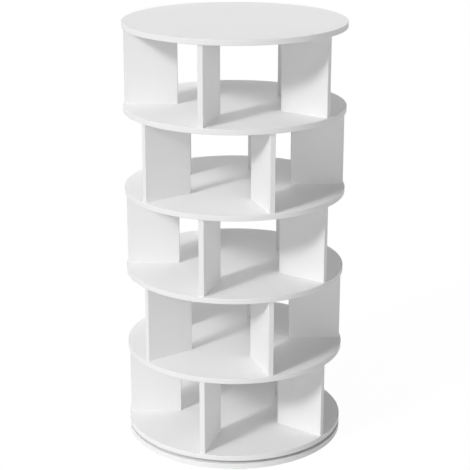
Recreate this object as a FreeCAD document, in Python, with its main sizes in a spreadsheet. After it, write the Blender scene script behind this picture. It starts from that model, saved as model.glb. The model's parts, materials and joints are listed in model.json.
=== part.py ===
import FreeCAD, Part
import math
import os

import Sketcher

# Rotating shoe tower, in millimetres. Six round boards are stacked on radial dividers and turn
# together, on a ring bearing, above a fixed base of the same diameter. Each tier has five
# dividers round an open core, and the tiers are staggered by half a bay, so that a divider's
# screws are driven up through the board below it, between the dividers of the next tier down.
#
# Frame: Z is the axis that the tower turns on, +Z up, with the origin on the floor. The front
# is -Y. Tiers and shelf boards are numbered from the bottom.

# Name, size in millimetres (or a count), and what it measures.
DIMENSIONS = (
    ("tower_diameter", 600, "every disc, over its edge band"),
    ("disc_board", 15, "thickness of the discs and the base"),
    ("divider_board", 15, "thickness of a divider"),
    ("bay_height", 210, "clear height between two discs"),
    ("divider_depth", 143, "divider from end to end, over its edge bands"),
    ("divider_inset", 4.5, "rim of a disc to the outer end of a divider"),
    ("tiers", 5, "number of tiers"),
    ("bays", 5, "dividers, and so bays, in a tier"),
    ("edge_band", 2, "thickness of the edge band on discs and dividers"),
    ("band_round", 1.5, "radius of the edge band's outer corners"),
    ("fixing_inset", 37, "end of a divider to its nearest dowel or screw"),
    ("dowel_diameter", 8, "wooden dowel"),
    ("dowel_length", 30, "wooden dowel"),
    ("dowel_in_disc", 10, "part of the dowel that is in the disc above"),
    ("dowel_chamfer", 1, "chamfer on both ends of a dowel"),
    ("divider_screw_head", 10, "head diameter of the screws in the dividers"),
    ("divider_screw_shank", 7, "shank diameter of the screws in the dividers"),
    ("divider_screw_length", 50, "length of the screws in the dividers"),
    ("divider_screw_key", 4, "hexagon socket of the screws in the dividers, across its flats"),
    ("ring_screw_head", 8, "head diameter of the screws in the bearing"),
    ("ring_screw_shank", 4, "shank diameter of the screws in the bearing"),
    ("ring_screw_length", 20, "length of the screws in the bearing"),
    ("ring_screw_cross", 4.4, "cross recess of the screws in the bearing, from tip to tip"),
    ("ring_screw_slot", 1.2, "width of the cross recess's arms"),
    ("ring_screws", 10, "screws in each ring of the bearing"),
    ("head_rim", 0.4, "straight rim on a countersunk head"),
    ("recess_depth", 1.8, "depth of the recess in a screw's head"),
    ("bore_gap", 0.05, "gap all round a dowel or screw in its bore"),
    ("bore_end_gap", 1, "space left past the end of a dowel or screw"),
    ("bearing_diameter", 400, "outer diameter of the bearing"),
    ("bearing_height", 8.5, "base board to lowest disc"),
    ("ring_width", 26, "each bearing ring, from its inner to its outer wall"),
    ("ring_lift", 0.5, "gap below the turning ring and above the fixed ring"),
    ("ring_gap", 2.4, "gap between the two rings"),
    ("ring_chamfer", 0.6, "chamfer on the rings' edges"),
    ("ball_diameter", 5, "bearing ball"),
    ("ball_count", 36, "balls in the bearing"),
    ("race_gap", 0.3, "gap between a ball and its race"),
    ("cage_thickness", 1.4, "ball cage, between the rings"),
    ("cage_height", 6.4, "ball cage"),
    ("window_gap", 0.1, "gap between a ball and its window in the cage"),
    ("access_bore", 14, "hole in the base for driving the turning ring's screws"),
    ("pad_diameter", 30, "non-slip pad"),
    ("pad_thickness", 2, "non-slip pad"),
    ("pad_round", 0.4, "chamfer on a pad's lower edge"),
    ("pad_inset", 18, "rim of the base to the edge of a pad"),
    ("pad_count", 6, "non-slip pads"),
)

UP = FreeCAD.Vector(0, 0, 1)
SKETCH_UP = FreeCAD.Vector(0, 1, 0)  # a sketch on the XZ plane has its own Y along Z
Y_AXIS = FreeCAD.Vector(0, 1, 0)

# Radii from the tower's axis.
RIM = "(Dims.tower_diameter / 2)"
BOARD_RIM = f"({RIM} - Dims.edge_band)"
DIVIDER_OUTER = f"({RIM} - Dims.divider_inset)"
DIVIDER_INNER = f"({DIVIDER_OUTER} - Dims.divider_depth)"
INNER_FIXING = f"({DIVIDER_INNER} + Dims.fixing_inset)"
FIXING_SPACING = "(Dims.divider_depth - 2 * Dims.fixing_inset)"
RING_OUTER = "(Dims.bearing_diameter / 2)"
FIXED_RING_BORE = f"({RING_OUTER} - Dims.ring_width)"
TURNING_RING_RIM = f"({FIXED_RING_BORE} - Dims.ring_gap)"
TURNING_RING_BORE = f"({TURNING_RING_RIM} - Dims.ring_width)"
BALL_PITCH = f"({FIXED_RING_BORE} - Dims.ring_gap / 2)"
FIXED_SCREWS = f"({FIXED_RING_BORE} + Dims.ring_width / 2)"
TURNING_SCREWS = f"({TURNING_RING_BORE} + Dims.ring_width / 2)"
PAD_PITCH = f"({RIM} - Dims.pad_inset - Dims.pad_diameter / 2)"

# Heights above the floor.
BASE_BOTTOM = "Dims.pad_thickness"
BASE_TOP = f"({BASE_BOTTOM} + Dims.disc_board)"
DECK_BOTTOM = f"({BASE_TOP} + Dims.bearing_height)"
BALL_LEVEL = f"({BASE_TOP} + Dims.bearing_height / 2)"
FIXED_RING_TOP = f"({DECK_BOTTOM} - Dims.ring_lift)"
TURNING_RING_BOTTOM = f"({BASE_TOP} + Dims.ring_lift)"
RING_HEIGHT = "(Dims.bearing_height - Dims.ring_lift)"


def disc_bottom(number):
    """Height of the underside of disc number, counted from 1 at the lowest shelf."""
    return f"({DECK_BOTTOM} + {number - 1} * (Dims.disc_board + Dims.bay_height))"


def disc_top(number):
    return f"({disc_bottom(number)} + Dims.disc_board)"


# ---------------------------------------------------------------- the document and its helpers

doc = FreeCAD.newDocument("ShoeTower")
sheet = doc.addObject("Spreadsheet::Sheet", "Dims")
for row, (name, size, meaning) in enumerate(DIMENSIONS, start=1):
    sheet.set(f"A{row}", meaning)
    sheet.set(f"B{row}", str(size))
    sheet.setAlias(f"B{row}", name)
doc.recompute()

sub_parts = []


def value(expression):
    """The number that an expression on the sheet comes to now."""
    return float(sheet.evalExpression(f"{expression} * 1"))


def count(name):
    return int(value(f"Dims.{name}"))


def new_body(name, height="0", angle=0):
    """Start a sub-part, with its own frame raised by height and turned by angle about Z."""
    body = doc.addObject("PartDesign::Body", name)
    body.Label = name
    body.Placement = FreeCAD.Placement(FreeCAD.Vector(), FreeCAD.Rotation(UP, angle))
    body.setExpression("Placement.Base.z", height)
    sub_parts.append(body)
    return body


def origin_feature(body, role):
    return next(item for item in body.Origin.OriginFeatures if item.Role == role)


def new_sketch(body, name, plane, offset=FreeCAD.Placement()):
    sketch = body.newObject("Sketcher::SketchObject", name)
    sketch.AttachmentSupport = [(origin_feature(body, plane), "")]
    sketch.MapMode = "FlatFace"
    sketch.AttachmentOffset = offset
    return sketch


def hold_point(sketch, line, point, x, y):
    """Tie a line's start, point 1, or its end, point 2, to the place that two expressions give."""
    for kind, distance in (("DistanceX", x), ("DistanceY", y)):
        rule = sketch.addConstraint(Sketcher.Constraint(kind, line, point, value(distance)))
        sketch.setExpression(f"Constraints[{rule}]", distance)


def draw_outline(sketch, points):
    """Draw a closed outline through points, each a pair of expressions."""
    places = [FreeCAD.Vector(value(x), value(y), 0) for x, y in points]
    lines = [sketch.addGeometry(Part.LineSegment(here, there), False)
             for here, there in zip(places, places[1:] + places[:1])]
    for line, following in zip(lines, lines[1:] + lines[:1]):
        sketch.addConstraint(Sketcher.Constraint("Coincident", line, 2, following, 1))
    for line, (x, y) in zip(lines, points):
        hold_point(sketch, line, 1, x, y)


def rectangle(left, right, front, back):
    return [(left, front), (right, front), (right, back), (left, back)]


def pad(body, name, outlines, height, level="0", angle=0, cut=False):
    """Raise outlines by height, or cut that deep, upwards from level.

    They are drawn flat, with their own X in the direction angle. The sketch is returned too.
    """
    offset = FreeCAD.Placement(FreeCAD.Vector(), FreeCAD.Rotation(UP, angle))
    sketch = new_sketch(body, name + "_outline", "XY_Plane", offset)
    sketch.setExpression("AttachmentOffset.Base.z", level)
    for outline in outlines:
        draw_outline(sketch, outline)
    feature = body.newObject("PartDesign::Pocket" if cut else "PartDesign::Pad", name)
    feature.Profile = sketch
    feature.setExpression("Length", height)
    feature.Reversed = cut
    return feature, sketch


def turn(body, name, outline, axis="0", level="0", angle=0, cut=False):
    """Turn an outline of (radius, height) points about an upright axis.

    The axis stands at the distance axis from Z, in the direction angle, and the heights count
    from level. The sketch is returned too, because its own X points from Z to the axis.
    """
    offset = FreeCAD.Placement(FreeCAD.Vector(), FreeCAD.Rotation(SKETCH_UP, angle))
    sketch = new_sketch(body, name + "_outline", "XZ_Plane", offset)
    draw_outline(sketch, [(f"{axis} + {x}", f"{level} + {z}") for x, z in outline])
    foot = FreeCAD.Vector(value(axis), value(level), 0)
    line = sketch.addGeometry(Part.LineSegment(foot, foot + FreeCAD.Vector(0, 1, 0)), True)
    hold_point(sketch, line, 1, axis, level)
    hold_point(sketch, line, 2, axis, f"{level} + 1")
    feature = body.newObject("PartDesign::Groove" if cut else "PartDesign::Revolution", name)
    feature.Profile = sketch
    feature.ReferenceAxis = (sketch, ["Axis0"])
    feature.Angle = 360
    return feature, sketch


def line_pattern(body, name, direction, length, number):
    pattern = body.newObject("PartDesign::LinearPattern", name)
    pattern.Direction = direction
    pattern.setExpression("Length", length)
    pattern.Occurrences = number
    return pattern


def repeat(body, features, number, sketch=None, spacing=None, levels=1):
    """Repeat features number times round Z.

    Before that they are repeated along the sketch's own X if spacing is given, and after it on
    every other tier if there are more levels than one.
    """
    name = features[0].Name
    patterns = []
    if spacing is not None:
        patterns.append(line_pattern(body, name + "_along", (sketch, ["H_Axis"]), spacing, 2))
    around = body.newObject("PartDesign::PolarPattern", name + "_round")
    around.Axis = (origin_feature(body, "Z_Axis"), [""])
    around.setExpression("Occurrences", number)
    around.Angle = 360
    patterns.append(around)
    if levels > 1:
        rise = f"({levels - 1} * 2 * (Dims.disc_board + Dims.bay_height))"
        upwards = (origin_feature(body, "Z_Axis"), [""])
        patterns.append(line_pattern(body, name + "_up", upwards, rise, levels))
    if len(patterns) == 1:
        around.Originals = features
        body.Tip = around
        return
    together = body.newObject("PartDesign::MultiTransform", name + "_all")
    together.Originals = features
    together.Transformations = patterns
    body.Tip = together


def round_edges(body, feature, is_sharp, radius):
    """Fillet the edges of a feature that is_sharp picks."""
    doc.recompute()
    names = [f"Edge{index}" for index, edge in enumerate(feature.Shape.Edges, start=1) if is_sharp(edge)]
    fillet = body.newObject("PartDesign::Fillet", feature.Name + "_rounded")
    fillet.Base = (feature, names)
    fillet.setExpression("Radius", radius)
    body.Tip = fillet
    return fillet


def near(one, other):
    return abs(one - other) < 1e-4


# ---------------------------------------------------------------- outlines of turned pieces

def cylinder(diameter, height, gap="0"):
    radius = f"({diameter} / 2 + {gap})"
    return [("0", "0"), (radius, "0"), (radius, height), ("0", height)]


def dowel():
    """A dowel from its lower end, chamfered at both ends."""
    radius = "(Dims.dowel_diameter / 2)"
    end = f"({radius} - Dims.dowel_chamfer)"
    return [("0", "0"), (end, "0"), (radius, "Dims.dowel_chamfer"),
            (radius, "(Dims.dowel_length - Dims.dowel_chamfer)"),
            (end, "Dims.dowel_length"), ("0", "Dims.dowel_length")]


def countersunk(kind, length, gap="0", tip="0", sign=""):
    """A countersunk screw from its head, or with a gap and a zero tip the bore for one.

    kind is the first part of the screw's names on the sheet. The head's cone is a right angle.
    The last stretch of the shank, tip long, narrows by half. sign is "-" for a screw that
    points down.
    """
    head = f"(Dims.{kind}_head / 2 + {gap})"
    shank = f"(Dims.{kind}_shank / 2 + {gap})"
    cone_end = f"(Dims.head_rim + (Dims.{kind}_head - Dims.{kind}_shank) / 2)"
    points = [("0", "0"), (head, "0"), (head, "Dims.head_rim"), (shank, cone_end)]
    if tip == "0":
        points += [(shank, length), ("0", length)]
    else:
        points += [(shank, f"({length} - {tip})"), (f"({shank} / 2)", length), ("0", length)]
    return [(x, f"({sign}1 * {z})") for x, z in points]


def hexagon(centre, width):
    """A hexagon on the X axis, of this width across its flats."""
    corner_radius = f"({width} / {math.sqrt(3)})"
    turns = [math.radians(60 * corner) for corner in range(6)]
    return [(f"({centre} + {corner_radius} * {math.cos(turn)})", f"({corner_radius} * {math.sin(turn)})")
            for turn in turns]


def cross(centre, length, slot):
    """A cross on the X axis, of this length from tip to tip and with arms as wide as slot."""
    tip, side = f"({length} / 2)", f"({slot} / 2)"
    quarter = [(tip, side), (side, side), (side, tip)]
    points = []
    for _ in range(4):
        points += quarter
        quarter = [(f"(-{y})", x) for x, y in quarter]
    return [(f"({centre} + {x})", y) for x, y in points]


def ring(inner, outer, height, chamfer="0"):
    """A ring's section, chamfered at its four corners if chamfer is given."""
    if chamfer == "0":
        return rectangle(inner, outer, "0", height)
    low, high = chamfer, f"({height} - {chamfer})"
    near_inner, near_outer = f"({inner} + {chamfer})", f"({outer} - {chamfer})"
    return [(near_inner, "0"), (near_outer, "0"), (outer, low), (outer, high),
            (near_outer, height), (near_inner, height), (inner, high), (inner, low)]


# ---------------------------------------------------------------- boards

def stagger(tier):
    """Direction of a tier's first divider: every other tier is turned by half a bay."""
    return 180 / count("bays") if tier % 2 else 0


def first_ring_screw():
    """Direction of a bearing ring's first screw: they stand clear of the dividers' own screws."""
    return 180 / count("ring_screws")


def cut_screw_bores(body, tier):
    """Countersunk bores, up through a disc, for the screws of the dividers that stand on it."""
    outline = countersunk("divider_screw", "Dims.disc_board", "Dims.bore_gap")
    bore, sketch = turn(body, "screw_bore", outline, INNER_FIXING, angle=stagger(tier), cut=True)
    repeat(body, [bore], "Dims.bays", sketch, FIXING_SPACING)


def cut_dowel_bores(body, tier):
    """Blind bores in a disc's underside for the dowels of the dividers below it."""
    depth = "(Dims.dowel_in_disc + Dims.bore_end_gap)"
    outline = cylinder("Dims.dowel_diameter", depth, "Dims.bore_gap")
    bore, sketch = turn(body, "dowel_bore", outline, INNER_FIXING, angle=stagger(tier), cut=True)
    repeat(body, [bore], "Dims.bays", sketch, FIXING_SPACING)


def cut_ring_screw_bores(body, pitch, level, sign):
    """Blind bores in a board, up from level, or down with the sign "-", for a ring's screws."""
    depth = f"({sign}1 * (Dims.ring_screw_length - {RING_HEIGHT} + Dims.bore_end_gap))"
    outline = cylinder("Dims.ring_screw_shank", depth, "Dims.bore_gap")
    bore, _ = turn(body, "ring_screw_bore", outline, pitch, level, first_ring_screw(), cut=True)
    repeat(body, [bore], "Dims.ring_screws")


def make_disc(name, height):
    body = new_body(name, height)
    turn(body, "board", cylinder(f"2 * {BOARD_RIM}", "Dims.disc_board"))
    return body


def make_disc_band(name, height):
    """The edge band round a disc, with its outer corners rounded."""
    body = new_body(name, height)
    band, _ = turn(body, "band", ring(BOARD_RIM, RIM, "Dims.disc_board"))
    rim = value(RIM)

    def is_outer(edge):
        return isinstance(edge.Curve, Part.Circle) and near(edge.Curve.Radius, rim)

    round_edges(body, band, is_outer, "Dims.band_round")


def make_discs():
    tiers = count("tiers")
    for number in range(1, tiers + 1):
        body = make_disc(f"shelf_disc_{number}", disc_bottom(number))
        cut_screw_bores(body, number)
        if number == 1:
            cut_ring_screw_bores(body, TURNING_SCREWS, "0", "")
        else:
            cut_dowel_bores(body, number - 1)
        make_disc_band(f"shelf_disc_{number}_edge_band", disc_bottom(number))
    top = make_disc("top_disc", disc_bottom(tiers + 1))
    cut_dowel_bores(top, tiers)
    make_disc_band("top_disc_edge_band", disc_bottom(tiers + 1))


def make_divider(name, tier, angle):
    """A divider between its edge bands, bored for its screws below and its dowels above."""
    body = new_body(name, disc_top(tier), angle)
    outline = rectangle(f"({DIVIDER_INNER} + Dims.edge_band)", f"({DIVIDER_OUTER} - Dims.edge_band)",
                        "(-Dims.divider_board / 2)", "(Dims.divider_board / 2)")
    pad(body, "board", [outline], "Dims.bay_height")
    screw_depth = "(Dims.divider_screw_length - Dims.disc_board + Dims.bore_end_gap)"
    dowel_depth = "(Dims.dowel_length - Dims.dowel_in_disc + Dims.bore_end_gap)"
    bores = (
        ("screw_bore", cylinder("Dims.divider_screw_shank", screw_depth, "Dims.bore_gap"), "0"),
        ("dowel_bore", cylinder("Dims.dowel_diameter", dowel_depth, "Dims.bore_gap"),
         f"(Dims.bay_height - {dowel_depth})"),
    )
    for bore_name, bore_outline, level in bores:
        bore, sketch = turn(body, bore_name, bore_outline, INNER_FIXING, level, cut=True)
        along = line_pattern(body, bore_name + "_along", (sketch, ["H_Axis"]), FIXING_SPACING, 2)
        along.Originals = [bore]
        body.Tip = along


def make_divider_bands(tier):
    """The strips on the inner and outer ends of one tier's dividers."""
    body = new_body(f"tier_{tier}_divider_edge_bands", disc_top(tier), stagger(tier))
    front, back = "(-Dims.divider_board / 2)", "(Dims.divider_board / 2)"
    strips, _ = pad(body, "strips", [
        rectangle(DIVIDER_INNER, f"({DIVIDER_INNER} + Dims.edge_band)", front, back),
        rectangle(f"({DIVIDER_OUTER} - Dims.edge_band)", DIVIDER_OUTER, front, back),
    ], "Dims.bay_height")
    repeat(body, [strips], "Dims.bays")
    corners = [math.hypot(value(end), value(back)) for end in (DIVIDER_INNER, DIVIDER_OUTER)]

    def is_corner(edge):
        first, last = edge.Vertexes[0].Point, edge.Vertexes[-1].Point
        upright = near(first.x, last.x) and near(first.y, last.y)
        return upright and any(near(math.hypot(first.x, first.y), corner) for corner in corners)

    round_edges(body, body.Tip, is_corner, "Dims.band_round")


def make_dividers():
    bays = count("bays")
    for tier in range(1, count("tiers") + 1):
        for number in range(1, bays + 1):
            angle = stagger(tier) + (number - 1) * 360 / bays
            make_divider(f"tier_{tier}_divider_{number}", tier, angle)
        make_divider_bands(tier)


# ---------------------------------------------------------------- fixings of the dividers

def make_divider_fixings():
    """All dowels and all screws of the dividers: two of each to a divider."""
    dowels = new_body("divider_dowels")
    screws = new_body("divider_screws")
    tiers = count("tiers")
    for tier in range(1, min(tiers, 2) + 1):
        levels = len(range(tier, tiers + 1, 2))
        level = f"({disc_bottom(tier + 1)} + Dims.dowel_in_disc - Dims.dowel_length)"
        piece, sketch = turn(dowels, f"tier_{tier}", dowel(), INNER_FIXING, level, stagger(tier))
        repeat(dowels, [piece], "Dims.bays", sketch, FIXING_SPACING, levels)
        level = disc_bottom(tier)
        outline = countersunk("divider_screw", "Dims.divider_screw_length", tip="Dims.divider_screw_shank")
        piece, sketch = turn(screws, f"tier_{tier}", outline, INNER_FIXING, level, stagger(tier))
        socket, _ = pad(screws, f"tier_{tier}_socket", [hexagon(INNER_FIXING, "Dims.divider_screw_key")],
                        "Dims.recess_depth", level, stagger(tier), cut=True)
        repeat(screws, [piece, socket], "Dims.bays", sketch, FIXING_SPACING, levels)


# ---------------------------------------------------------------- bearing

def make_ring(name, inner, outer, level, screw_level, pitch, sign):
    """One bearing ring, with its ball race and the countersunk bores for its screws."""
    body = new_body(name)
    turn(body, "ring", ring(inner, outer, RING_HEIGHT, "Dims.ring_chamfer"), level=level)
    race = body.newObject("PartDesign::SubtractiveTorus", "race")
    race.setExpression("Radius1", BALL_PITCH)
    race.setExpression("Radius2", "Dims.ball_diameter / 2 + Dims.race_gap")
    race.setExpression("Placement.Base.z", BALL_LEVEL)
    outline = countersunk("ring_screw", RING_HEIGHT, "Dims.bore_gap", sign=sign)
    bore, _ = turn(body, "screw_bore", outline, pitch, screw_level, first_ring_screw(), cut=True)
    repeat(body, [bore], "Dims.ring_screws")


def make_ring_screws(name, level, pitch, sign):
    body = new_body(name)
    outline = countersunk("ring_screw", "Dims.ring_screw_length", tip="Dims.ring_screw_shank", sign=sign)
    screw, _ = turn(body, "screw", outline, pitch, level, first_ring_screw())
    recess_bottom = f"({level} - Dims.recess_depth)" if sign else level
    recess, _ = pad(body, "recess", [cross(pitch, "Dims.ring_screw_cross", "Dims.ring_screw_slot")],
                    "Dims.recess_depth", recess_bottom, first_ring_screw(), cut=True)
    repeat(body, [screw, recess], "Dims.ring_screws")


def make_cage():
    """The ball cage, a thin ring with a round window for each ball."""
    body = new_body("ball_cage")
    inner = f"({BALL_PITCH} - Dims.cage_thickness / 2)"
    outer = f"({BALL_PITCH} + Dims.cage_thickness / 2)"
    between_balls = 180 / count("ball_count")
    turn(body, "wall", ring(inner, outer, "Dims.cage_height"),
         level=f"({BALL_LEVEL} - Dims.cage_height / 2)", angle=between_balls)
    window = body.newObject("PartDesign::SubtractiveCylinder", "window")
    window.Placement = FreeCAD.Placement(FreeCAD.Vector(), FreeCAD.Rotation(Y_AXIS, 90))
    window.setExpression("Placement.Base.x", f"({BALL_PITCH} - Dims.cage_thickness)")
    window.setExpression("Placement.Base.z", BALL_LEVEL)
    window.setExpression("Radius", "Dims.ball_diameter / 2 + Dims.window_gap")
    window.setExpression("Height", "2 * Dims.cage_thickness")
    repeat(body, [window], "Dims.ball_count")


def make_balls():
    body = new_body("bearing_balls")
    first = body.newObject("PartDesign::AdditiveSphere", "first_ball")
    first.setExpression("Radius", "Dims.ball_diameter / 2")
    first.setExpression("Placement.Base.x", BALL_PITCH)
    first.setExpression("Placement.Base.z", BALL_LEVEL)
    repeat(body, [first], "Dims.ball_count")


def make_bearing():
    make_ring("bearing_fixed_ring", FIXED_RING_BORE, RING_OUTER, BASE_TOP, FIXED_RING_TOP, FIXED_SCREWS, "-")
    make_ring("bearing_turning_ring", TURNING_RING_BORE, TURNING_RING_RIM, TURNING_RING_BOTTOM,
              TURNING_RING_BOTTOM, TURNING_SCREWS, "")
    make_ring_screws("fixed_ring_screws", FIXED_RING_TOP, FIXED_SCREWS, "-")
    make_ring_screws("turning_ring_screws", TURNING_RING_BOTTOM, TURNING_SCREWS, "")
    make_cage()
    make_balls()


# ---------------------------------------------------------------- base

def make_base():
    """The fixed base, its edge band and the non-slip pads that it stands on."""
    base = make_disc("base_disc", BASE_BOTTOM)
    cut_ring_screw_bores(base, FIXED_SCREWS, "Dims.disc_board", "-")
    turn(base, "access_bore", cylinder("Dims.access_bore", "Dims.disc_board"), TURNING_SCREWS, cut=True)
    make_disc_band("base_disc_edge_band", BASE_BOTTOM)
    pads = new_body("non_slip_pads")
    radius = "(Dims.pad_diameter / 2)"
    outline = [("0", "0"), (f"({radius} - Dims.pad_round)", "0"), (radius, "Dims.pad_round"),
               (radius, "Dims.pad_thickness"), ("0", "Dims.pad_thickness")]
    piece, _ = turn(pads, "pad", outline, PAD_PITCH)
    repeat(pads, [piece], "Dims.pad_count")


def check():
    """Stop if any object failed to compute, or a sub-part has no valid shape."""
    for item in doc.Objects:
        if "Invalid" in item.State or "Error" in item.State:
            raise RuntimeError(f"{item.Label} ({item.Name}) failed: {item.State}")
    for body in sub_parts:
        if body.Shape.isNull() or not body.Shape.isValid():
            raise RuntimeError(f"{body.Label} has no valid shape")


make_base()
make_bearing()
make_discs()
make_dividers()
make_divider_fixings()
doc.recompute()
check()
os.makedirs("parts", exist_ok=True)
for body in sub_parts:
    body.Shape.exportStep(f"parts/{body.Label}.step")
    print(f"{body.Label}: {len(body.Shape.Solids)} solids, {body.Shape.Volume / 1000:.2f} cm3")
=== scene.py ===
"""Looks of the rotating shoe tower.

White melamine boards with rounded edge bands, the hardware of the bearing and of the fixings, and
the studio that the tower stands in. Lengths are in metres.
"""

import json
import math

import bpy
import numpy as np
from mathutils import Matrix, Vector


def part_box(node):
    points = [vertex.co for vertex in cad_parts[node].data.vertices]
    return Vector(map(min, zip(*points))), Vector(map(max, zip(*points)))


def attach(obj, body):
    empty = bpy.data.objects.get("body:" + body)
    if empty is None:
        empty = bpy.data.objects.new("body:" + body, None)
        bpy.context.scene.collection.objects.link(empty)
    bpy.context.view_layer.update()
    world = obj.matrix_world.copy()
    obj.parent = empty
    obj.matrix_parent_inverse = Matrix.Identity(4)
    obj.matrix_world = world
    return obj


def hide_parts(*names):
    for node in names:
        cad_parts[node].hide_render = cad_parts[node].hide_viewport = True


MM = 0.001

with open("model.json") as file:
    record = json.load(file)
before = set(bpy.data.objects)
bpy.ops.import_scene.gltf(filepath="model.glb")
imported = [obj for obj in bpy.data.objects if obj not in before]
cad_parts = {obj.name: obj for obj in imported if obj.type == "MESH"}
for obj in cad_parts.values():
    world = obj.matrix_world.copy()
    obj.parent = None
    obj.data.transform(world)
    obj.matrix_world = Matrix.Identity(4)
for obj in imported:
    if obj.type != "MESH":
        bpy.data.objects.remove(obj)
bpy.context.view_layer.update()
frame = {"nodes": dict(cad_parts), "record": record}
record = frame["record"]
nodes = frame["nodes"]
slot_of = {row["node"]: row["material_slot"] for row in record["subparts"]}
body_of = {
    member: body for body, members in record["behaviour"]["bodies"].items() for member in members}

# ---------------------------------------------------------------- sizes

TIERS = 5
DIVIDERS = 5                # in each tier
DIVIDER_BOARD = 15 * MM
BAND_THICKNESS = 2 * MM
BAND_ROUND = 1.5 * MM       # radius of an edge band's outer corners
BAND_EASE = 0.25 * MM       # radius of its inner corners, which draws its joint with the board
CORNER_STEPS = 8            # faces round a quarter circle
SUPPORT = 0.15 * MM         # narrow flat face beside a rounded corner, which keeps the shading there
TURN_STEPS = 480            # sections round a disc's edge band
STRIP_STEPS = 12            # sections up a divider's edge band
SHARP_EDGE = 40             # degrees between two faces, past which the shading breaks


# ---------------------------------------------------------------- surfaces

def quarter_circle(centre, radius, start):
    """Points on a circle about centre: its angle goes evenly from start to start + 90 degrees."""
    turn = np.radians(np.linspace(start, start + 90, CORNER_STEPS + 1))
    return np.column_stack([centre[0] + radius * np.cos(turn), centre[1] + radius * np.sin(turn)])


def band_section(inner, outer, low, high):
    """Closed outline of an edge band as (across, along) points, anticlockwise.

    A rectangle from low to high, whose two corners at inner have BAND_EASE for a radius and whose
    two corners at outer have BAND_ROUND. One more point lies on the flat on either side of each
    corner, SUPPORT away from it.
    """
    if outer > inner:
        corners = ((inner, low, 180), (outer, low, 270), (outer, high, 0), (inner, high, 90))
    else:
        corners = ((outer, low, 180), (inner, low, 270), (inner, high, 0), (outer, high, 90))
    outline = []
    for across, along, start in corners:
        radius = BAND_ROUND if across == outer else BAND_EASE
        middle = math.radians(start + 45)
        inwards = -np.sign([math.cos(middle), math.sin(middle)])
        corner = quarter_circle(np.array([across, along]) + inwards * radius, radius, start)
        heading = np.radians([start + 90, start + 180])
        before = corner[0] - SUPPORT * np.array([math.cos(heading[0]), math.sin(heading[0])])
        after = corner[-1] + SUPPORT * np.array([math.cos(heading[1]), math.sin(heading[1])])
        outline += [before[None], corner, after[None]]
    return np.vstack(outline)


def level_directions(steps):
    """Level unit vectors, evenly spaced round the tower's axis from +X."""
    turn = np.linspace(0, 2 * np.pi, steps, endpoint=False)
    return np.column_stack([np.cos(turn), np.sin(turn), np.zeros(steps)])


def carry(section, origins, across, along):
    """Carry a section along a path.

    Point (i, j) is origins[i] + section[j, 0] * across[i] + section[j, 1] * along[i].
    """
    return (origins[:, None] + section[None, :, :1] * across[:, None]
            + section[None, :, 1:] * along[:, None])


def ring_faces(rows, columns, closed):
    """Quads between the rows of a grid whose columns close into a ring, and rows too if closed."""
    row, column = np.meshgrid(np.arange(rows if closed else rows - 1), np.arange(columns),
                              indexing="ij")
    next_row = (row + 1) % rows
    next_column = (column + 1) % columns
    corners = (row * columns + column, row * columns + next_column,
               next_row * columns + next_column, next_row * columns + column)
    return np.stack(corners, axis=-1).reshape(-1, 4)


def ring_places(rows, columns, closed, length, section):
    """UV of every corner of those quads: metres along the path, and metres round the section."""
    row, column = np.meshgrid(np.arange(rows if closed else rows - 1), np.arange(columns),
                              indexing="ij")
    step = length / (rows if closed else rows - 1)
    edges = np.linalg.norm(np.roll(section, -1, axis=0) - section, axis=1)
    round_it = np.concatenate([[0], np.cumsum(edges)])
    u = np.stack([row, row, row + 1, row + 1], axis=-1) * step
    v = np.stack([round_it[column], round_it[column + 1], round_it[column + 1], round_it[column]],
                 axis=-1)
    return np.stack([u, v], axis=-1).reshape(-1, 2)


def new_piece(node, points, faces, places, material):
    """Make the smooth piece that stands for a CAD node, and let it ride on the node's body."""
    mesh = bpy.data.meshes.new(node + "_rounded")
    mesh.from_pydata(points, [], faces)
    mesh.uv_layers.new(name="along_band")
    mesh.uv_layers["along_band"].uv.foreach_set("vector", places.astype(np.float32).ravel())
    mesh.polygons.foreach_set("use_smooth", np.ones(len(faces), dtype=bool))
    mesh.set_sharp_from_angle(angle=math.radians(SHARP_EDGE))
    mesh.materials.append(material)
    piece = bpy.data.objects.new(mesh.name, mesh)
    bpy.context.scene.collection.objects.link(piece)
    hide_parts(node)
    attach(piece, body_of[node])


def disc_band(node, material):
    """Edge band of a disc: the section, at its radius, carried once round the tower's axis."""
    low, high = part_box(node)
    section = band_section(high.x - BAND_THICKNESS, high.x, low.z, high.z)
    upwards = np.tile([0, 0, 1], (TURN_STEPS, 1))
    grid = carry(section, np.zeros((TURN_STEPS, 3)), level_directions(TURN_STEPS), upwards)
    faces = ring_faces(TURN_STEPS, len(section), True)[:, ::-1]
    places = ring_places(TURN_STEPS, len(section), True, 2 * np.pi * high.x, section)
    places = places.reshape(-1, 4, 2)[:, ::-1].reshape(-1, 2)
    new_piece(node, grid.reshape(-1, 3), faces.tolist(), places, material)


def divider_directions(tier):
    """Unit vectors from the axis to the middles of a tier's dividers."""
    middles = []
    for number in range(1, DIVIDERS + 1):
        low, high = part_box(f"tier_{tier}_divider_{number}")
        middles.append([(low.x + high.x) / 2, (low.y + high.y) / 2, 0])
    middles = np.array(middles)
    return middles / np.linalg.norm(middles, axis=1)[:, None]


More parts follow.
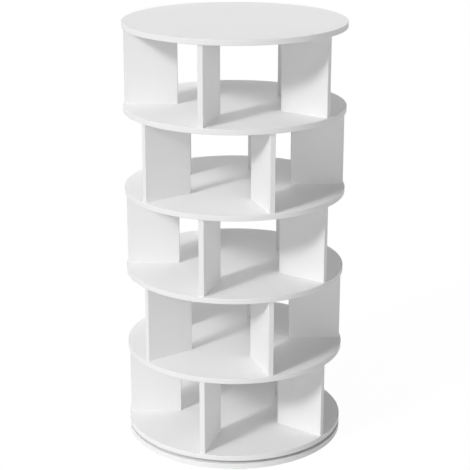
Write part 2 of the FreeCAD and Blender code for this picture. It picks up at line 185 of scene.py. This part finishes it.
def divider_bands(tier, ends, material):
    """Bands on both ends of a tier's dividers: each a plan section carried straight up."""
    node = f"tier_{tier}_divider_edge_bands"
    low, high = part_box(node)
    half = DIVIDER_BOARD / 2
    inner_end, outer_end = ends
    sections = (band_section(outer_end - BAND_THICKNESS, outer_end, -half, half),
                band_section(inner_end + BAND_THICKNESS, inner_end, -half, half))
    columns = len(sections[0])
    origins = np.zeros((STRIP_STEPS, 3))
    origins[:, 2] = np.linspace(low.z, high.z, STRIP_STEPS)
    points = []
    faces = []
    places = []
    for outwards in divider_directions(tier):
        sideways = np.array([-outwards[1], outwards[0], 0])
        for section in sections:
            first = len(points) * STRIP_STEPS * columns
            grid = carry(section, origins, np.tile(outwards, (STRIP_STEPS, 1)),
                         np.tile(sideways, (STRIP_STEPS, 1)))
            points.append(grid.reshape(-1, 3))
            faces += (ring_faces(STRIP_STEPS, columns, False) + first).tolist()
            places.append(ring_places(STRIP_STEPS, columns, False, high.z - low.z, section))
            bottom = np.arange(columns) + first
            faces += [bottom[::-1].tolist(), (bottom + (STRIP_STEPS - 1) * columns).tolist()]
            places += [section[::-1], section]
    new_piece(node, np.vstack(points), faces, np.vstack(places), material)


# ---------------------------------------------------------------- shader nodes

FLOAT = "NodeSocketFloat"
COLOR = "NodeSocketColor"
NOISE_MEAN = 0.5
NOISE_SPAN = (0.3, 0.7)     # nearly all of a noise's values lie between these
FLECK_SHARE = 0.3           # weight of the melamine's flecks beside its clouds
GLOSS_DRIFT = 0.12          # change of roughness while the clouds go from 0 to 1
CHIP_FLATNESS = 2.2         # a chip in chipboard is this many times as wide as it is thick
LEVEL_FACE = 0.9            # least Z, up or down, in the normal of a level face


def add(tree, kind, inputs=None, **settings):
    """Add a shader node; inputs holds a number, a colour or another node's socket for each."""
    made = tree.nodes.new(kind)
    for name, value in settings.items():
        setattr(made, name, value)
    for name, value in (inputs or {}).items():
        if isinstance(value, bpy.types.NodeSocket):
            tree.links.new(value, made.inputs[name])
        else:
            made.inputs[name].default_value = value
    return made


def calculate(tree, operation, *terms):
    """Output of a Math node on up to three terms."""
    return add(tree, "ShaderNodeMath", dict(enumerate(terms)), operation=operation).outputs[0]


def blend_colors(tree, factor, first, second):
    """Colour that goes from first to second as factor goes from 0 to 1."""
    mixed = add(tree, "ShaderNodeMix", {0: factor, 6: first, 7: second}, data_type="RGBA")
    return mixed.outputs[2]


def object_place(tree):
    """Place on the piece, in metres."""
    return add(tree, "ShaderNodeTexCoord").outputs["Object"]


def stretched_place(tree, place, stretch):
    """Place with each axis multiplied, so that a pattern on it is drawn out."""
    return add(tree, "ShaderNodeVectorMath", {0: place, 1: stretch}, operation="MULTIPLY").outputs[0]


def effect(name, inputs, outputs):
    """New shader group: its tree, the sockets that its inputs arrive at, and its output node."""
    group = bpy.data.node_groups.new(name, "ShaderNodeTree")
    for label, kind, value in inputs:
        group.interface.new_socket(name=label, in_out="INPUT", socket_type=kind).default_value = value
    for label, kind in outputs:
        group.interface.new_socket(name=label, in_out="OUTPUT", socket_type=kind)
    return group, add(group, "NodeGroupInput").outputs, add(group, "NodeGroupOutput")


def melamine_effect():
    """Melamine paper: a broad, faint change of tone and gloss, and the fine pebbles of its press."""
    group, given, result = effect("MelamineFace", (
        ("Color", COLOR, (0.9, 0.9, 0.9, 1)), ("Cloud Depth", FLOAT, 0.01),
        ("Pebble Scale", FLOAT, 900), ("Gloss Roughness", FLOAT, 0.4)), (
        ("Color", COLOR), ("Roughness", FLOAT), ("Pebble", FLOAT)))
    place = object_place(group)
    cloud = add(group, "ShaderNodeTexNoise", {"Vector": place, "Scale": 6, "Detail": 3})
    fleck = add(group, "ShaderNodeTexNoise", {"Vector": place, "Scale": 160, "Detail": 1})
    mixed = calculate(group, "MULTIPLY_ADD", fleck.outputs["Fac"], FLECK_SHARE, cloud.outputs["Fac"])
    centred = calculate(group, "SUBTRACT", mixed, NOISE_MEAN * (1 + FLECK_SHARE))
    share = calculate(group, "MULTIPLY_ADD", centred, given["Cloud Depth"], 1)
    tone = add(group, "ShaderNodeVectorMath", {0: given["Color"], "Scale": share}, operation="SCALE")
    pebble = add(group, "ShaderNodeTexNoise", {
        "Vector": place, "Scale": given["Pebble Scale"], "Detail": 2, "Roughness": 0.6})
    group.links.new(tone.outputs[0], result.inputs["Color"])
    gloss = calculate(group, "MULTIPLY_ADD", centred, GLOSS_DRIFT, given["Gloss Roughness"])
    group.links.new(gloss, result.inputs["Roughness"])
    group.links.new(pebble.outputs["Fac"], result.inputs["Pebble"])
    return group


def chipboard_effect():
    """Raw chipboard, where a hole cuts a disc: pressed chips, with a mask of those walls.

    The discs' outer walls lie under their edge bands, so a wall is any face that isn't level.
    """
    group, given, result = effect("ChipboardWall", (
        ("Pale Chip", COLOR, (0.6, 0.44, 0.27, 1)), ("Dark Chip", COLOR, (0.3, 0.19, 0.1, 1)),
        ("Chip Scale", FLOAT, 420)), (("Color", COLOR), ("Mask", FLOAT), ("Chips", FLOAT)))
    flat_chips = stretched_place(group, object_place(group), (1, 1, CHIP_FLATNESS))
    chips = add(group, "ShaderNodeTexVoronoi", {
        "Vector": flat_chips, "Scale": given["Chip Scale"], "Randomness": 1})
    shade = add(group, "ShaderNodeSeparateColor", {"Color": chips.outputs["Color"]})
    color = blend_colors(group, shade.outputs[0], given["Pale Chip"], given["Dark Chip"])
    facing = add(group, "ShaderNodeTexCoord").outputs["Normal"]
    level = add(group, "ShaderNodeSeparateXYZ", {0: facing}).outputs["Z"]
    mask = calculate(group, "LESS_THAN", calculate(group, "ABSOLUTE", level), LEVEL_FACE)
    group.links.new(color, result.inputs["Color"])
    group.links.new(mask, result.inputs["Mask"])
    group.links.new(chips.outputs["Distance"], result.inputs["Chips"])
    return group


def spread_noise(group, noise, given, result):
    """Put out the middle of a noise's range, spread so that it goes from Low to High."""
    spread = add(group, "ShaderNodeMapRange", {
        "Value": noise.outputs["Fac"], "From Min": NOISE_SPAN[0], "From Max": NOISE_SPAN[1],
        "To Min": given["Low"], "To Max": given["High"]})
    group.links.new(spread.outputs[0], result.inputs["Value"])


def speckle_effect():
    """Fine grain, from large specks down to small ones, as a value from Low to High."""
    group, given, result = effect("Speckle", (
        ("Scale", FLOAT, 900), ("Low", FLOAT, 0), ("High", FLOAT, 1)), (("Value", FLOAT),))
    fine = add(group, "ShaderNodeTexNoise", {
        "Vector": object_place(group), "Scale": given["Scale"], "Detail": 4, "Roughness": 0.7})
    spread_noise(group, fine, given, result)
    return group


def turned_effect():
    """Marks that a lathe leaves: grain that depends on the distance from the axis and on height."""
    group, given, result = effect("TurnedMarks", (
        ("Line Scale", FLOAT, 4000), ("Low", FLOAT, 0), ("High", FLOAT, 1)), (("Value", FLOAT),))
    split = add(group, "ShaderNodeSeparateXYZ", {0: object_place(group)})
    flat = add(group, "ShaderNodeCombineXYZ", {0: split.outputs["X"], 1: split.outputs["Y"]})
    radius = add(group, "ShaderNodeVectorMath", {0: flat.outputs[0]}, operation="LENGTH")
    profile = add(group, "ShaderNodeCombineXYZ", {0: radius.outputs["Value"], 1: split.outputs["Z"]})
    lines = add(group, "ShaderNodeTexNoise", {
        "Vector": profile.outputs[0], "Scale": given["Line Scale"], "Detail": 2}, noise_dimensions="2D")
    spread_noise(group, lines, given, result)
    return group


# ---------------------------------------------------------------- materials

def new_material(name):
    """New material, its node tree and its shader."""
    material = bpy.data.materials.new(name)
    material.use_nodes = True
    return material, material.node_tree, material.node_tree.nodes["Principled BSDF"]


def wire(tree, shader, **sockets):
    """Link sockets to the shader's inputs, whose names are given with _ for each space."""
    for name, socket in sockets.items():
        tree.links.new(socket, shader.inputs[name.replace("_", " ")])


def raise_surface(tree, shader, height, strength, distance):
    """Feed a height to the shader's normal through a Bump node."""
    relief = add(tree, "ShaderNodeBump", {
        "Height": height, "Strength": strength, "Distance": distance})
    tree.links.new(relief.outputs["Normal"], shader.inputs["Normal"])


def melamine_parts(name, face, color, roughness):
    """Start a board's material: its shader, and the melamine group with the board's values."""
    material, tree, shader = new_material(name)
    shader.inputs["Specular IOR Level"].default_value = SHEEN
    paper = add(tree, "ShaderNodeGroup", {}, node_tree=face)
    paper.inputs["Color"].default_value = (*color, 1)
    paper.inputs["Cloud Depth"].default_value = CLOUD_DEPTH
    paper.inputs["Pebble Scale"].default_value = PEBBLE_SCALE
    paper.inputs["Gloss Roughness"].default_value = roughness
    return material, tree, shader, paper.outputs


def divider_material(face, color, roughness):
    """White melamine on the dividers."""
    material, tree, shader, paper = melamine_parts("white_melamine_divider", face, color, roughness)
    wire(tree, shader, Base_Color=paper["Color"], Roughness=paper["Roughness"])
    raise_surface(tree, shader, paper["Pebble"], RELIEF, PEBBLE_HEIGHT)
    return material


def disc_material(face, core, color, roughness):
    """White melamine on the discs, with raw chipboard on the walls of their holes."""
    material, tree, shader, paper = melamine_parts("white_melamine_disc", face, color, roughness)
    raw = add(tree, "ShaderNodeGroup", {}, node_tree=core).outputs
    tone = blend_colors(tree, raw["Mask"], paper["Color"], raw["Color"])
    dull = calculate(tree, "MAXIMUM", paper["Roughness"], raw["Mask"])
    rough_chips = calculate(tree, "MULTIPLY", raw["Chips"], raw["Mask"])
    height = calculate(tree, "MULTIPLY_ADD", rough_chips, CHIP_HEIGHT, paper["Pebble"])
    wire(tree, shader, Base_Color=tone, Roughness=dull)
    raise_surface(tree, shader, height, RELIEF, PEBBLE_HEIGHT)
    return material


def band_material(face, color, roughness):
    """White edge band: a smoother face than the boards', with faint lines drawn along it."""
    material, tree, shader, paper = melamine_parts("white_edge_band", face, color, roughness)
    along = add(tree, "ShaderNodeUVMap", uv_map="along_band").outputs["UV"]
    drawn = add(tree, "ShaderNodeTexNoise", {
        "Vector": stretched_place(tree, along, LINE_SCALE), "Scale": 1, "Detail": 2},
        noise_dimensions="2D")
    height = calculate(tree, "MULTIPLY_ADD", drawn.outputs["Fac"], LINE_SHARE, paper["Pebble"])
    wire(tree, shader, Base_Color=paper["Color"], Roughness=paper["Roughness"])
    raise_surface(tree, shader, height, RELIEF, LINE_HEIGHT)
    return material


def speckled_material(name, grain, scale, colors, roughness, metallic, depth):
    """Plain stuff with a fine grain: colours and roughness go from the first to the second."""
    material, tree, shader = new_material(name)
    shader.inputs["Metallic"].default_value = metallic
    speckle = add(tree, "ShaderNodeGroup", {}, node_tree=grain)
    speckle.inputs["Scale"].default_value = scale
    value = speckle.outputs["Value"]
    tone = blend_colors(tree, value, (*colors[0], 1), (*colors[1], 1))
    rough = calculate(tree, "MULTIPLY_ADD", value, roughness[1] - roughness[0], roughness[0])
    wire(tree, shader, Base_Color=tone, Roughness=rough)
    raise_surface(tree, shader, value, GRAIN_RELIEF, depth)
    return material


def aluminium_material(turned, grain):
    """Satin aluminium of the bearing rings, turned on a lathe."""
    material, tree, shader = new_material("turned_aluminium")
    shader.inputs["Metallic"].default_value = 1
    lines = add(tree, "ShaderNodeGroup", {}, node_tree=turned)
    value = lines.outputs["Value"]
    cast = add(tree, "ShaderNodeGroup", {}, node_tree=grain)
    cast.inputs["Scale"].default_value = 60
    half = calculate(tree, "MULTIPLY", value, 0.5)
    shade = calculate(tree, "MULTIPLY_ADD", cast.outputs["Value"], 0.5, half)
    tone = blend_colors(tree, shade, (0.7, 0.7, 0.715, 1), (0.82, 0.82, 0.83, 1))
    rough = calculate(tree, "MULTIPLY_ADD", value, 0.12, 0.3)
    wire(tree, shader, Base_Color=tone, Roughness=rough)
    raise_surface(tree, shader, value, 0.4, 0.01 * MM)
    return material


def beech_material():
    """Beech dowels: fine grain drawn out along their height."""
    material, tree, shader = new_material("beech_dowel")
    place = stretched_place(tree, object_place(tree), BEECH_SCALE)
    grain = add(tree, "ShaderNodeTexNoise", {"Vector": place, "Scale": 1, "Detail": 3}).outputs["Fac"]
    tone = blend_colors(tree, grain, (0.62, 0.42, 0.25, 1), (0.82, 0.65, 0.45, 1))
    wire(tree, shader, Base_Color=tone, Roughness=calculate(tree, "MULTIPLY_ADD", grain, 0.2, 0.5))
    raise_surface(tree, shader, grain, GRAIN_RELIEF, 0.05 * MM)
    return material


# ---------------------------------------------------------------- the tower

WHITE = (0.9, 0.9, 0.9)
BAND_WHITE = (0.87, 0.87, 0.87)
SHEEN = 0.25                # melamine shines less than bare plastic
BOARD_ROUGHNESS = 0.5
BAND_ROUGHNESS = 0.45
CLOUD_DEPTH = 0.012         # share by which the tone changes while the clouds go from 0 to 1
PEBBLE_SCALE = 800          # pebbles to the metre, about
PEBBLE_HEIGHT = 0.02 * MM
CHIP_HEIGHT = 8             # of raw chips, times that of the pebbles
LINE_SCALE = (12, 2600, 0)  # lines drawn on a band: to the metre along it and round it, about
LINE_SHARE = 0.6            # their weight beside the pebbles on a band
LINE_HEIGHT = 0.012 * MM    # of lines and pebbles on a band
BEECH_SCALE = (1200, 1200, 45)      # beech fibres to the metre, across and up
RELIEF = 0.3                # strength of the bumps on boards and bands
GRAIN_RELIEF = 0.5          # the same for wood, steel, nylon and rubber

melamine_face = melamine_effect()
speckle = speckle_effect()
dividers_white = divider_material(melamine_face, WHITE, BOARD_ROUGHNESS)
discs_white = disc_material(melamine_face, chipboard_effect(), WHITE, BOARD_ROUGHNESS)
bands_white = band_material(melamine_face, BAND_WHITE, BAND_ROUGHNESS)
finishes = {
    "white_board": dividers_white,
    "edge_band": bands_white,
    "dowel_wood": beech_material(),
    "zinc_screw": speckled_material(
        "zinc_plated_steel", speckle, 700, ((0.6, 0.61, 0.63), (0.78, 0.79, 0.8)), (0.24, 0.42), 1,
        0.01 * MM),
    "bearing_aluminium": aluminium_material(turned_effect(), speckle),
    "ball_steel": speckled_material(
        "polished_steel", speckle, 1500, ((0.74, 0.74, 0.76), (0.82, 0.82, 0.84)), (0.06, 0.12), 1,
        0.002 * MM),
    "cage_plastic": speckled_material(
        "moulded_nylon", speckle, 1300, ((0.1, 0.1, 0.1), (0.14, 0.14, 0.14)), (0.45, 0.6), 0,
        0.02 * MM),
    "pad_rubber": speckled_material(
        "foamed_rubber", speckle, 1600, ((0.06, 0.06, 0.06), (0.1, 0.1, 0.1)), (0.7, 0.9), 0,
        0.08 * MM),
}

for name, piece in nodes.items():
    finish = finishes[slot_of[name]]
    if finish is dividers_white and "disc" in name:
        finish = discs_white
    piece.data.materials.clear()
    piece.data.materials.append(finish)

# This divider lies along the X axis, so its box gives the radii at which its board ends.
low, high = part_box("tier_2_divider_1")
divider_ends = (low.x - BAND_THICKNESS, high.x + BAND_THICKNESS)
for name in nodes:
    if slot_of[name] == "edge_band" and "disc" in name:
        disc_band(name, bands_white)
for tier in range(1, TIERS + 1):
    divider_bands(tier, divider_ends, bands_white)

# ---------------------------------------------------------------- studio

CAMERA_BACK = 3.7579        # level distance from the tower's axis
CAMERA_ASIDE = 0.0010
CAMERA_HEIGHT = 1.7939
CAMERA_PITCH = math.radians(71.919)     # from looking straight down
CAMERA_TURN = math.radians(-1.049)
CAMERA_ROLL = math.radians(0.072)
CAMERA_LENS = 109.34        # millimetres, as is the sensor
CAMERA_SENSOR = 36
FLOOR_RADIUS = 40           # so far out that its rim doesn't show
FLOOR_STEPS = 96            # corners of the floor's two rims
FLOOR_SHADE = 0.06          # share of the floor's shading that a camera sees
FLOOR_GLOW = 1.03           # brightness of the rest, which leaves the open floor white

# Each lamp: degrees to the right of the tower's front, degrees up, width in degrees, strength.
LAMPS = {
    "key": (-45.5, 30.5, 8, 1.13),
    "key_glow": (-50, 33, 20, 0.58),
    "upper_left_fill": (-72, 64, 60, 0.75),
    "front_fill": (0, 12, 60, 0.31),
    "right_fill": (45, 12, 60, 0.57),
    "back_left_fill": (-135, 12, 60, 0.26),
    "back_fill": (180, 12, 60, 0.42),
    "underside_fill": (0, -90, 60, 1.3),
}
LAMP_DISTANCE = 3           # from the origin; a sun's light is the same from any distance
ROOM_LIGHT = 0.12


def looked_at(tree):
    """1 where something is seen, straight or in gloss or glass, and 0 where its light is gathered."""
    path = add(tree, "ShaderNodeLightPath").outputs
    looks = calculate(tree, "MAXIMUM", path["Is Camera Ray"], path["Is Glossy Ray"])
    return calculate(tree, "MAXIMUM", looks, path["Is Transmission Ray"])


def floor_material():
    """Pale floor: white where it's looked at, with a trace of the shadow, and clear from below."""
    material = bpy.data.materials.new("studio_floor")
    material.use_nodes = True
    tree = material.node_tree
    tree.nodes.clear()
    pale = add(tree, "ShaderNodeBsdfDiffuse", {"Color": (0.8, 0.8, 0.8, 1)})
    white = add(tree, "ShaderNodeEmission", {"Strength": FLOOR_GLOW})
    seen = add(tree, "ShaderNodeMixShader", {0: FLOOR_SHADE, 1: white.outputs[0], 2: pale.outputs[0]})
    floor = add(tree, "ShaderNodeMixShader", {
        0: looked_at(tree), 1: pale.outputs[0], 2: seen.outputs[0]})
    clear = add(tree, "ShaderNodeBsdfTransparent")
    under = add(tree, "ShaderNodeNewGeometry").outputs["Backfacing"]
    sided = add(tree, "ShaderNodeMixShader", {0: under, 1: floor.outputs[0], 2: clear.outputs[0]})
    add(tree, "ShaderNodeOutputMaterial", {"Surface": sided.outputs[0]})
    return material


def studio_floor():
    """Flat ring round the tower: it is open under the base, which a lamp lights from below."""
    rim = level_directions(FLOOR_STEPS)
    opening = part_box("base_disc_edge_band")[1].x - BAND_THICKNESS
    mesh = bpy.data.meshes.new("floor")
    mesh.from_pydata(np.vstack([opening * rim, FLOOR_RADIUS * rim]), [],
                     ring_faces(2, FLOOR_STEPS, False)[:, ::-1].tolist())
    mesh.materials.append(floor_material())
    floor = bpy.data.objects.new("floor", mesh)
    bpy.context.scene.collection.objects.link(floor)


def studio_world(strength):
    """Even light from all round, which is white where it's looked at."""
    world = bpy.data.worlds.new("studio")
    bpy.context.scene.world = world
    world.use_nodes = True
    tree = world.node_tree
    tree.nodes.clear()
    light = add(tree, "ShaderNodeBackground", {"Color": (1, 1, 1, 1), "Strength": strength})
    white = add(tree, "ShaderNodeBackground", {"Color": (1, 1, 1, 1)})
    mixed = add(tree, "ShaderNodeMixShader", {
        0: looked_at(tree), 1: light.outputs[0], 2: white.outputs[0]})
    add(tree, "ShaderNodeOutputWorld", {"Surface": mixed.outputs[0]})


def far_lamp(name, turn, rise, width, strength):
    """Lamp that lights all of the tower alike, as one very far off does.

    turn is the way to it in degrees to the right of the tower's front, and rise is how many degrees
    above the floor it stands. width is how wide it looks, which is what softens its shadows.
    """
    turn = math.radians(turn)
    rise = math.radians(rise)
    way = Vector((math.sin(turn) * math.cos(rise), -math.cos(turn) * math.cos(rise), math.sin(rise)))
    lamp = bpy.data.lights.new(name, "SUN")
    lamp.angle = math.radians(width)
    lamp.energy = strength
    holder = bpy.data.objects.new(name, lamp)
    holder.location = LAMP_DISTANCE * way
    holder.rotation_euler = way.to_track_quat("Z", "Y").to_euler()
    bpy.context.scene.collection.objects.link(holder)


def studio_camera():
    """Camera carried round the tower's axis by CAMERA_TURN, then tipped and rolled about its own."""
    camera = bpy.data.cameras.new("camera")
    camera.lens = CAMERA_LENS
    camera.sensor_width = CAMERA_SENSOR
    camera.clip_end = 3 * FLOOR_RADIUS
    holder = bpy.data.objects.new("camera", camera)
    turn = Matrix.Rotation(CAMERA_TURN, 4, "Z")
    place = Matrix.Translation(turn @ Vector((CAMERA_ASIDE, -CAMERA_BACK, CAMERA_HEIGHT)))
    tilt = Matrix.Rotation(CAMERA_PITCH, 4, "X") @ Matrix.Rotation(CAMERA_ROLL, 4, "Z")
    holder.matrix_world = place @ turn @ tilt
    bpy.context.scene.collection.objects.link(holder)
    bpy.context.scene.camera = holder


studio_floor()
studio_world(ROOM_LIGHT)
for name, (turn, rise, width, strength) in LAMPS.items():
    far_lamp(name, turn, rise, width, strength)
studio_camera()
bpy.context.scene.view_settings.view_transform = "Standard"
